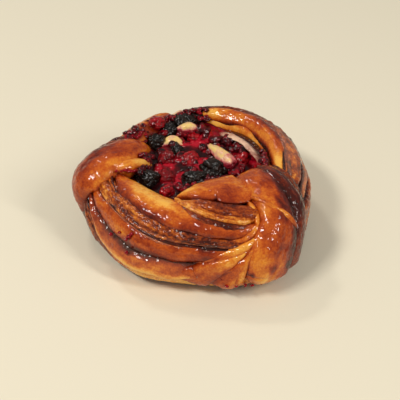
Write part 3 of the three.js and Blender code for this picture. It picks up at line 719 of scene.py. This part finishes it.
# ---- Left loop ----
# A broad strand turned out of the hollow, over the ring and down the outside, with a golden
# tongue beside it in front and two thin wrinkled layers along its back edge.
dough_piece("left_loop", [
    strand(around=[155, 160, 168, 175.5, 179, 181, 185], over=[144, 131, 114, 90, 63, 34, -14],
        lift=[3, 4, 4.4, 4.4, 4.8, 4.8, -3], half=[2, 5, 9, 13, 14.6, 14, 9],
        thick=[4, 7, 9, 10, 11, 11, 9], tone=[0, 0.14, 0.36, 0.46, 0.5, 0.52, 0.5],
        left=[-0.05, -0.1, -0.22, -0.3, -0.26, -0.18, 0], right=[-0.1, 0, 0.04, 0.1, 0.12, 0.12, 0.1],
        edge=0, fullness=3, seed=24),
    strand(around=[177, 184, 189, 191, 190], over=[148, 134, 118, 102, 84],
        lift=[3.4, 3.8, 3.6, 2.6, 0.6], half=[1.2, 2.8, 4, 4.6, 3.4], thick=[2.6, 4, 5, 6, 5],
        tone=[-0.02, 0, 0.06, 0.14, 0.24], edge=0, skin=0.8, fullness=3, seed=25),
    strand(around=[157, 159, 162, 166, 172, 183], over=[112, 92, 68, 48, 32, 8],
        lift=[1, 2.4, 2.6, 2.4, 1, -2], half=2.2, thick=4, tone=[0.4, 0.42, 0.46, 0.52, 0.7, 0.8],
        edge=0.2, cut=0.7, pale=[0.04, 0.05, 0.05, 0.04, 0, 0], seed=26),
    strand(around=[152, 154, 157, 162, 168, 178], over=[110, 90, 66, 46, 28, 4],
        lift=[0, 1.4, 1.6, 1.4, 0.2, -3], half=2.4, thick=4, tone=[0.5, 0.5, 0.5, 0.56, 0.74, 0.85],
        edge=0.2, cut=0.8, pale=[0.03, 0.03, 0.04, 0.03, 0, 0], seed=27),
])


# ---- Right loop ----
# The big loop that closes the bun, from the hollow over the ring to the front right foot: a
# broad glossy strand with two narrow folds on its front edge, and behind it a second strand
# and three thin layers fanned out.
right = dict(over=[154, 130, 102, 74, 45, 10, -40], fullness=8)
dough_piece("right_loop", [
    strand(around=[336, 329, 324, 321, 318, 308.5, 303], lift=[-3, 2.6, 4, 4.2, 4.2, 4, 0.6],
        half=[9, 10, 11.2, 11.2, 12, 15.5, 15], thick=[8, 7, 7.5, 9.5, 11, 11, 11],
        tone=[0.5, 0.52, 0.46, 0.42, 0.46, 0.36, 0.06], left=[0, 0.3, 0.42, 0.48, 0.5, 0.35, 0],
        right=[0, -0.04, -0.14, -0.12, -0.08, -0.1, 0], edge=0, skin=1.4, mottle=1.9,
        burns=((315, 5, 3, 4.6), (306, 10, 3, 4), (297, 7, 3, 2.4)), seed=28, **right),
    strand(around=[350, 343, 337, 333.5, 330.5, 324, 316], lift=[-2, 2, 3.4, 3.9, 4.2, 4, 1],
        half=[6, 6, 6.5, 7, 7.5, 8.5, 8], thick=10, tone=[0.5, 0.5, 0.6, 0.66, 0.66, 0.55, 0.3],
        cut=[0.2, 0.2, 0.3, 0.4, 0.4, 0.3, 0.2], ridges=0.2, seed=29, **right),
    strand(around=[306, 306.5, 307, 306.5, 305, 302.5], over=[88, 79, 70, 62, 53, 44],
        lift=[-0.8, 0.4, 0.3, 0, -0.4, -1.5], half=[1, 1.8, 2.2, 2.2, 2, 1.2], thick=4,
        tone=[0.22, 0.2, 0.16, 0.12, 0.12, 0.16], right=0.05, edge=0.05, skin=0.8, wave=0.6, fullness=3,
        seed=47),
    strand(around=[308, 312, 316, 320, 322.5, 324], over=[90, 76, 63, 51, 40, 29],
        lift=[0.4, 3, 4.4, 5.2, 5.2, 4.2], half=[0.8, 1.6, 2, 2, 1.7, 0.8], thick=2.6,
        tone=[0.3, 0.3, 0.24, 0.22, 0.3, 0.5], left=0.25, right=0, edge=0, cut=0.2, skin=0.6, wave=0.5,
        fullness=3, seed=30),
])
rim = dict(over=[114, 96, 70, 46, 22, -4], cut=0.9, seed=41, wave=0.5, ridges=0.25)
dough_piece("right_loop_rim", [
    strand(around=[342, 340, 337, 335, 333, 330], lift=[3, 3.4, 3, 2.4, 1, -2], half=1.6, thick=3.5,
        tone=[0.3, 0.24, 0.22, 0.26, 0.4, 0.4], left=0.15, right=0.25, **rim),
    strand(around=[346, 343, 340, 338, 337, 334], lift=[1.5, 1.8, 1.6, 1, -0.5, -3], half=2.4, thick=5,
        tone=[0.45, 0.46, 0.48, 0.5, 0.5, 0.5], **rim),
    strand(around=[351, 347, 344, 342, 341, 338], lift=[0, 0.4, 0.4, 0, -1.2, -4], half=3, thick=6,
        tone=[0.5, 0.5, 0.52, 0.56, 0.56, 0.5], **rim),
])


# ---- Berry jam ----
# Crushed berries and syrup boiled down in the oven: a wet, lumpy dark red mass that fills the
# hollow from the dough floor up and reaches just into the dough round it.
def nearest(points, centres):
    """Distance from each point to its nearest centre, and which centre that is."""
    gaps = np.linalg.norm(points[:, None, :] - centres[None, :, :], axis=-1)
    return gaps.min(1), gaps.argmin(1)


def slope_level(x, y, middle):
    """Height in the hollow: middle at its middle, higher towards the back and the left."""
    return middle + 0.1 * (y - HOLLOW_MIDDLE[1]) - 0.04 * (x - HOLLOW_MIDDLE[0])


JAM_REACH = 38.0        # into the dough all round the hollow
JAM_FOOT = 15.0         # just over the dough floor
JAM_LEVEL = 27.0
CHUNK_SIZE = 2.4        # between the middles of crushed drupelets
CHUNKS = 1500           # over the square round the hollow
CHUNK_HEIGHT = 0.9
HEAP_LUMPS = 9.0, 4.0, 6.0  # sizes of its swells, of its small lumps, and of patches of chunks
PULP_SIZE = 3.0         # mm, patches of crushed flesh
POOL_SIZE = 11.0        # mm, pools of clearer syrup
PULP_RELIEF = 0.35      # mm, how high the flesh stands out of the syrup

# Boiled jam: deep red flesh, nearly black where the syrup is deep, under a wet clear film.
jam_material, tree = new_material("boiled_berry_jam")
place = add(tree, "TexCoord").outputs["Object"]
crease = add(tree, "Attribute", attribute_name="crease").outputs["Fac"]
pulp, pools = (add(tree, "TexNoise", {"Vector": place, "Scale": 1 / (size * MM),
                                      "Detail": 2.0}).outputs["Fac"]
               for size in (PULP_SIZE, POOL_SIZE))
pulp_share = add(tree, "MapRange", {0: pulp, 1: 0.3, 2: 0.7, 3: -0.15, 4: 0.15}).outputs[0]
pool_share = add(tree, "MapRange", {0: pools, 1: 0.35, 2: 0.65, 3: -0.3, 4: 0.3}).outputs[0]
level = add_up(tree, [crease, pulp_share, pool_share])
jam_colour = set_ramp(add(tree, "ValToRGB", {0: level}), [
    (0.0, "#ac0b22"), (0.2, "#860717"), (0.42, "#54040c"), (0.66, "#280205"), (1.0, "#100102")
]).outputs["Color"]
bump = add(tree, "Bump", {"Height": pulp, "Distance": PULP_RELIEF * MM}).outputs["Normal"]
finish_surface(tree, {"Base Color": jam_colour, "Normal": bump, "Coat Normal": bump,
                      "Roughness": 0.4, "Specular IOR Level": 0.05, "Coat Weight": 0.5,
                      "Coat Roughness": 0.06})

spokes, rings = 300, 110
share = np.linspace(0.004, 1, rings)[:, None]
angle = 2 * np.pi * np.arange(spokes)[None, :] / spokes
x = HOLLOW_MIDDLE[0] + JAM_REACH * share * np.cos(angle)
y = HOLLOW_MIDDLE[1] + JAM_REACH * share * np.sin(angle)
random = np.random.default_rng(5)
centres = random.uniform(-1, 1, (CHUNKS, 2)) * JAM_REACH + HOLLOW_MIDDLE
near = nearest(np.stack([x.ravel(), y.ravel()], -1), centres)[0]
bubble = np.clip(1 - (near / (0.75 * CHUNK_SIZE)) ** 2, 0, 1).reshape(x.shape) ** 0.6
flat_place = np.stack([x, y, 0 * x], -1)
heap = slope_level(x, y, JAM_LEVEL)
heap = (heap + 1.6 + 1.3 * lumps(flat_place, HEAP_LUMPS[0], 31)
        + 0.9 * lumps(flat_place, HEAP_LUMPS[1], 32))
mash = smooth(-0.2, 0.3, lumps(flat_place, HEAP_LUMPS[2], 33))
heap = heap + CHUNK_HEIGHT * bubble * mash
top = np.stack([x, y, heap], -1)
base = np.stack([x[-1], y[-1], np.full(spokes, JAM_FOOT)], -1)[None]
bottom_ring = base.copy()
bottom_ring[..., :2] = HOLLOW_MIDDLE + (base[..., :2] - HOLLOW_MIDDLE) * 0.02
points = np.concatenate([top, base, bottom_ring]).reshape(-1, 3)
poles = np.array([[*HOLLOW_MIDDLE, heap[0].mean()], [*HOLLOW_MIDDLE, JAM_FOOT]])
points = np.concatenate([points, poles]) + RING_MIDDLE
crease = np.concatenate([(0.55 - 0.5 * bubble * mash).ravel(), np.full(2 * spokes + 2, 0.5)])
piece = mesh_piece("berry_jam_fill", [capped_grid(points, rings + 2, spokes, {"crease": crease})],
                   jam_material)
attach(piece, "root")
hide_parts("berry_jam")


# ---- Dark berries ----
# Soft black clusters of drupelets that collapsed a little in the oven, wet with syrup, with
# a thin brownish bloom left in spots.
def sphere_directions(rows, columns):
    """Directions over a ball: rows from pole to pole, columns round it."""
    slope = np.pi * (np.arange(rows) + 0.5) / rows
    angle = 2 * np.pi * np.arange(columns) / columns
    flat = np.sin(slope)[:, None]
    return np.stack([flat * np.cos(angle), flat * np.sin(angle),
                     np.broadcast_to(np.cos(slope)[:, None], (rows, columns))], -1)


def turned(points, angle, first, second):
    """Points turned by an angle in radians in the plane of two axes."""
    matrix = np.eye(3)
    matrix[first, first] = matrix[second, second] = math.cos(angle)
    matrix[first, second], matrix[second, first] = math.sin(angle), -math.sin(angle)
    return points @ matrix


def drupelet_ball(centre, half_sizes, turn, bumps, depth, dent, seed, rows=64, columns=96):
    """A cluster berry: a ball stretched to its half sizes, with drupelets spread by the golden
    angle. The radius falls from each drupelet's middle by a circle's arc down to the creases,
    where crease is 1, and slow noise dents the whole. drupelet is a shade of its own for each,
    half from the berry and half from the drupelet."""
    draw = np.random.default_rng(seed)
    number = np.arange(bumps) + 0.5
    slope = np.arccos(1 - 2 * number / bumps)
    angle = np.pi * (1 + 5 ** 0.5) * number
    centres = np.stack([np.sin(slope) * np.cos(angle), np.sin(slope) * np.sin(angle),
                        np.cos(slope)], -1)
    centres = unit(centres + draw.normal(0, 0.6 / np.sqrt(bumps), centres.shape))
    pole_turn = draw.uniform(0, 2 * np.pi)
    ways = sphere_directions(rows, columns)
    ways = np.concatenate([ways.reshape(-1, 3), [[0, 0, 1], [0, 0, -1]]])
    reach = 2.1 / np.sqrt(bumps)    # of a drupelet, on a ball of radius 1
    near, which = nearest(ways, centres)
    swell = draw.uniform(0.85, 1.15, bumps)[which]
    arc = np.sqrt(np.clip(1 - (near / (reach * 1.08)) ** 2, 0, 1))
    radius = 1 - depth * (1 - arc * swell) + dent * lumps(ways * 1.6 + seed, 1.0, seed)
    radius = radius + 0.05 * lumps(ways * 6.0 + seed, 1.0, seed + 1)
    points = ways * radius[:, None]
    tilt = draw.uniform(0.3, 1.2)
    points = turned(turned(points, tilt, 1, 2), pole_turn, 0, 1) * np.array(half_sizes)
    points = turned(points, math.radians(turn), 0, 1)
    return capped_grid(points + np.array(centre), rows, columns, {
        "crease": 1 - arc,
        "drupelet": 0.5 * draw.uniform(0, 1, bumps)[which] + 0.5 * draw.uniform(0, 1)})


SPOT_SIZE = 1.8         # mm, spots of bloom and the pits round the seeds
SPOT_RELIEF = 0.16      # mm


def berry_material(name, stops, bloom, rough, weight, light_through):
    """Wet berry skin: its colour runs along stops by drupelet and crease, with spots of bloom,
    under a coat of syrup that gives small sharp highlights."""
    material, tree = new_material(name)
    place = add(tree, "TexCoord").outputs["Object"]
    crease = add(tree, "Attribute", attribute_name="crease").outputs["Fac"]
    drupelet = add(tree, "Attribute", attribute_name="drupelet").outputs["Fac"]
    spots = add(tree, "TexNoise", {"Vector": place, "Scale": 1 / (SPOT_SIZE * MM), "Detail": 2.0,
                                   "Roughness": 0.6}).outputs["Fac"]
    each = add(tree, "Math", {0: drupelet, 1: 0.5}, operation="MULTIPLY").outputs[0]
    # Darker down in the creases between drupelets: painted shade
    deep = add(tree, "Math", {0: crease, 1: 0.6}, operation="MULTIPLY").outputs[0]
    level = add_up(tree, [each, deep])
    skin = set_ramp(add(tree, "ValToRGB", {0: level}), stops).outputs["Color"]
    patch = add(tree, "MapRange", {0: spots, 1: 0.58, 2: 0.8, 3: 0.0, 4: 0.5}).outputs[0]
    colour = add(tree, "Mix", {0: patch, 6: skin, 7: linear(bloom)}, data_type="RGBA").outputs[2]
    bump = add(tree, "Bump", {"Height": spots, "Distance": SPOT_RELIEF * MM}).outputs["Normal"]
    finish_surface(tree, {"Base Color": colour, "Normal": bump, "Coat Normal": bump,
                          "Roughness": rough, "Specular IOR Level": 0.05, "Coat Weight": weight,
                          "Coat Roughness": 0.06, "Subsurface Weight": light_through,
                          "Subsurface Radius": (0.002, 0.0004, 0.0003)})
    return material


def node_box(node):
    """Middle and half sizes of the box of a CAD node, in mm."""
    low, high = (np.array(corner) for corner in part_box(node))
    return (low + high) / 2 / MM, (high - low) / 2 / MM


def berry_from_node(node, bumps, depth, dent, seed, sunk=0.0):
    """A berry as large as the box of its CAD node, sunk into the jam and so a little forward."""
    centre, half_sizes = node_box(node)
    return drupelet_ball(centre - [0, 0.4 * sunk, sunk], half_sizes, 0, bumps, depth, dent, seed)


SUNK_BERRIES = {6: 2.2}     # number of a berry that sank, and how deep

# Blackened skin, cooked matt under its syrup, with a brownish bloom.
dark_material = berry_material("baked_dark_berry_skin", [
    (0.0, "#24150f"), (0.35, "#120906"), (0.8, "#050201")],
    bloom="#3c2a18", rough=0.5, weight=0.62, light_through=0.0)
for number in range(1, 9):
    name = f"dark_berry_{number}"
    part = berry_from_node(name, bumps=60, depth=0.13, dent=0.24, seed=100 + number,
                           sunk=SUNK_BERRIES.get(number, 0.0))
    piece = mesh_piece(f"dark_cluster_berry_{number}", [part], dark_material)
    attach(piece, "root")
    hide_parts(name)


# ---- Red berries ----
# Ripe red cluster berries, softer than the dark ones and half crushed, so that light glows
# through the drupelets.
BURST_BERRIES = (9, 10)     # two that burst, dark with their own juice all over

# Thin red skin that lets some light through, painted darker in its creases as shade.
red_material = berry_material("baked_red_berry_skin", [
    (0.0, "#ba0d1b"), (0.5, "#840710"), (1.0, "#3c0307")],
    bloom="#b4141e", rough=0.45, weight=0.6, light_through=0.1)
for number in range(1, 12):
    name = f"red_berry_{number}"
    part = berry_from_node(name, bumps=40, depth=0.12, dent=0.2, seed=200 + number)
    if number in BURST_BERRIES:
        part["values"]["crease"] = 0.8 + 0.4 * part["values"]["crease"]
    piece = mesh_piece(f"red_cluster_berry_{number}", [part], red_material)
    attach(piece, "root")
    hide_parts(name)


# ---- Crushed fruit ----
# Small broken clusters of drupelets all over the jam, along the dough, on the back left rim
# and in the notch of the left loop, and crumbs of them on the crust: soft, wet and glossy.
FRAGMENTS = 80          # on the jam
LOBE_FRAGMENTS = 80     # on the lobe behind the berries
RIM_FRAGMENTS = 36      # on its outer rim
CRUMB_SIZE = 1.2        # smaller ones keep less of the painted crease shade, so they come out brighter
CRUMB_SHADE = 0.35
LOOP_LEAN = 5.0         # by which the right loop leans over the hollow and leaves less room
# Places on the ring as around and over
ALONG_DOUGH = [(203, 120), (198, 123), (194, 127), (190, 133), (186, 139), (181, 138), (176, 136),
               (172, 134), (150, 94), (143, 92), (136, 96), (129, 92), (122, 96), (104, 100),
               (98, 104), (110, 104), (12, 128), (4, 124), (-3, 120), (-9, 117), (-14, 112),
               (0, 128), (-8, 124), (250, 120), (262, 128)]
LEFT_TIP = [(179, 122), (180, 128), (182, 132), (175, 128), (173, 133), (176, 135), (171, 138),
            (177, 124), (168, 141)]
CRUMBS = [(234, 33), (233, 29), (235, 37), (227, 31), (221, 22), (234, 14), (287, -8), (291, -9),
          (295, -8), (298, -12), (302, -12), (195, 90), (197, 95), (197, 100), (198, 105), (199, 109),
          (199, 113), (198, 117)]

# Torn red flesh under syrup, from bright red to nearly black.
fragment_material = berry_material("crushed_red_fruit", [
    (0.0, "#a60c1e"), (0.25, "#760613"), (0.5, "#3c030a"), (0.8, "#180104")],
    bloom="#600814", rough=0.4, weight=0.6, light_through=0.0)

draw = np.random.default_rng(77)
fragment_turn = draw.uniform(0, 360, FRAGMENTS)
fragment_reach = np.sqrt(draw.uniform(0.02, 1.0, FRAGMENTS))
way = np.stack([np.cos(np.radians(fragment_turn)), np.sin(np.radians(fragment_turn))], -1)
hollow_edge = loop_value(HOLLOW_RADII, fragment_turn) - 0.5
hollow_edge = hollow_edge - LOOP_LEAN * smooth(0.4, 0.9, np.cos(np.radians(fragment_turn - 25)))
plan = HOLLOW_MIDDLE + way * (fragment_reach * hollow_edge)[:, None]
level = slope_level(plan[:, 0], plan[:, 1], JAM_LEVEL + 1.8)
level = level + 1.5 * fragment_reach ** 4 + draw.uniform(-0.6, 0.8, FRAGMENTS)
on_lobe, on_rim = (np.stack([draw.uniform(*turns, count), draw.uniform(*overs, count)], -1)
                   for turns, overs, count in (((84, 158), (92, 124), LOBE_FRAGMENTS),
                                               ((126, 160), (80, 112), RIM_FRAGMENTS)))
centres = np.stack([*plan.T, level], -1) + RING_MIDDLE
places = [(centre, draw.uniform(1.6, 3.4)) for centre in centres]
# Places, lift over the ring, and the smallest and largest half size there
for spots, lift, smallest, largest in ((ALONG_DOUGH, 2.2, 1.3, 2.1), (LEFT_TIP, 3.6, 1.2, 1.9),
                                       (CRUMBS, 0.9, 0.75, 1.15), (on_lobe, 1.1, 0.8, 1.7),
                                       (on_rim, 1.2, 0.8, 1.6)):
    spots = np.array(spots, float).T
    for centre in ring_point(*spots) + lift * ring_normal(*spots):
        places.append((centre, draw.uniform(smallest, largest)))
parts = []
for number, (centre, size) in enumerate(places):
    half_sizes = size * draw.uniform(0.75, 1.25, 3) * np.array([1, 1, 0.75])
    part = drupelet_ball(centre, half_sizes, draw.uniform(0, 360), bumps=11, depth=0.16,
                         dent=0.34, seed=400 + number, rows=16, columns=24)
    # Crumbs keep only CRUMB_SHADE of their crease and drupelet values: less painted crease shade, so they
    # come out brighter
    if size < CRUMB_SIZE:
        part["values"] = {key: CRUMB_SHADE * value for key, value in part["values"].items()}
    parts.append(part)
piece = mesh_piece("crushed_fruit", parts, fragment_material)
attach(piece, "root")
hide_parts("berry_jam")


# ---- Custard ----
# Pieces of baked vanilla custard that broke up among the berries: smooth, pale yellow and
# satin, stained pink where juice ran over their edges.
CURD_SIZE = 3.0         # mm, cloudy patches in the curd
CURD_RELIEF = 0.12      # mm

# Baked custard: smooth and satin, lets light through, and takes juice up at its edges.
custard_material, tree = new_material("set_egg_custard")
place = add(tree, "TexCoord").outputs["Object"]
stain = add(tree, "Attribute", attribute_name="stain").outputs["Fac"]
clouds = add(tree, "TexNoise", {"Vector": place, "Scale": 1 / (CURD_SIZE * MM),
                                "Detail": 3.0}).outputs["Fac"]
juice = add_up(tree, [stain, clouds])
custard_colour = set_ramp(add(tree, "ValToRGB", {0: juice}), [
    (0.45, "#ecc878"), (0.62, "#e2b285"), (0.8, "#cc6c68"), (0.95, "#981a2c")]).outputs["Color"]
bump = add(tree, "Bump", {"Height": clouds, "Distance": CURD_RELIEF * MM}).outputs["Normal"]
finish_surface(tree, {"Base Color": custard_colour, "Normal": bump, "Roughness": 0.4,
                      "Subsurface Weight": 0.2, "Subsurface Radius": (0.002, 0.0012, 0.0006),
                      "Coat Weight": 0.3, "Coat Roughness": 0.15})

# Number, turn, half sizes, shift from the node's middle, taper of one end, and bend in mm
CUSTARDS = [(1, 5, (6, 3.6, 3.2), (0, 0, 0), 0.2, 0.5),
            (2, 4, (6.8, 3.2, 3.4), (-1.8, -1.6, 0.3), 0.1, 3.4),
            (3, -54, (11.5, 5.6, 4.6), (-0.4, -0.5, 2), 0.6, 0)]
for number, turn, half_sizes, shift, taper, bend in CUSTARDS:
    centre = node_box(f"custard_{number}")[0] + shift
    part = drupelet_ball(np.zeros(3), half_sizes, turn, bumps=7, depth=0.0, dent=0.15,
                         seed=300 + number)
    axis = np.array([math.cos(math.radians(turn)), math.sin(math.radians(turn)), 0.0])
    along = (part["points"] @ axis)[:, None]
    share = along / half_sizes[0]
    aside = part["points"] - along * axis
    aside = aside * (1 - taper * (0.5 - 0.5 * share)) - np.array([0, bend, 0.3 * bend]) * share ** 2
    below = part["points"][:, 2] / half_sizes[2]
    part["points"] = centre + along * axis + aside
    wet_end = taper * smooth(0.0, 1.0, share[:, 0])
    part["values"] = {"stain": 0.5 * smooth(0.8, -0.2, below) + 0.28 * wet_end}
    piece = mesh_piece(f"custard_piece_{number}", [part], custard_material)
    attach(piece, "root")
    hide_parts(f"custard_{number}")


# ---- Table, light and camera ----
# A plain warm white table top, with an oblong window lamp at the front left, a tall narrow
# lamp at the front right and a small one at the back, in a pale room.
TABLE_HALF = 3.0        # metres

# Matt painted board: an even colour with hardly any sheen.
table_material, tree = new_material("matte_painted_table")
finish_surface(tree, {"Base Color": linear("#e8e1cb"), "Roughness": 0.85,
                      "Specular IOR Level": 0.2})
mesh = bpy.data.meshes.new("table_top")
corners = [(TABLE_HALF * x, TABLE_HALF * y, 0) for x, y in ((-1, -1), (1, -1), (1, 1), (-1, 1))]
mesh.from_pydata(corners, [], [(0, 1, 2, 3)])
mesh.materials.append(table_material)
table = add_object("table_top", mesh)


LAMP_DISTANCE = 1.1     # metres
LAMP_COLOUR = "#fffaf4"


def lamp(name, azimuth, elevation, width, height, power):
    """A soft oblong lamp that looks at the bun from an azimuth, 0 in front and anticlockwise
    from above, and an elevation in degrees. Its width and height are in metres."""
    light = bpy.data.lights.new(name, "AREA")
    light.shape = "RECTANGLE"
    light.size, light.size_y = width, height
    light.energy = power
    light.color = linear(LAMP_COLOUR)[:3]
    holder = add_object(name, light)
    turn, rise = math.radians(azimuth - 90), math.radians(elevation)
    way = Vector((math.cos(turn) * math.cos(rise), math.sin(turn) * math.cos(rise), math.sin(rise)))
    holder.location = way * LAMP_DISTANCE
    holder.rotation_euler = way.to_track_quat("Z", "Y").to_euler()


lamp("window_lamp", azimuth=-60, elevation=55, width=0.34, height=0.15, power=5.6)
lamp("side_lamp", azimuth=58, elevation=42, width=0.1, height=0.44, power=4.1)
lamp("back_lamp", azimuth=-145, elevation=52, width=0.16, height=0.1, power=1.8)

world = bpy.data.worlds.new("pale_room")
bpy.context.scene.world = world
world.use_nodes = True
background = world.node_tree.nodes["Background"]
background.inputs["Color"].default_value = linear("#fbf7f0")
background.inputs["Strength"].default_value = 0.34

TARGET = Vector((3.7, 6.8, 9.4)) * MM
CAMERA_DISTANCE = 0.6   # metres
CAMERA_RISE = math.radians(40)
camera_data = bpy.data.cameras.new("camera")
camera_data.lens = 100.4
camera_data.sensor_width = 36.0
camera_data.clip_end = 10.0
camera = add_object("camera", camera_data)
away = Vector((0, -math.cos(CAMERA_RISE), math.sin(CAMERA_RISE)))
camera.location = TARGET + away * CAMERA_DISTANCE
camera.rotation_euler = away.to_track_quat("Z", "Y").to_euler()
bpy.context.scene.camera = camera
bpy.context.scene.view_settings.view_transform = "Standard"
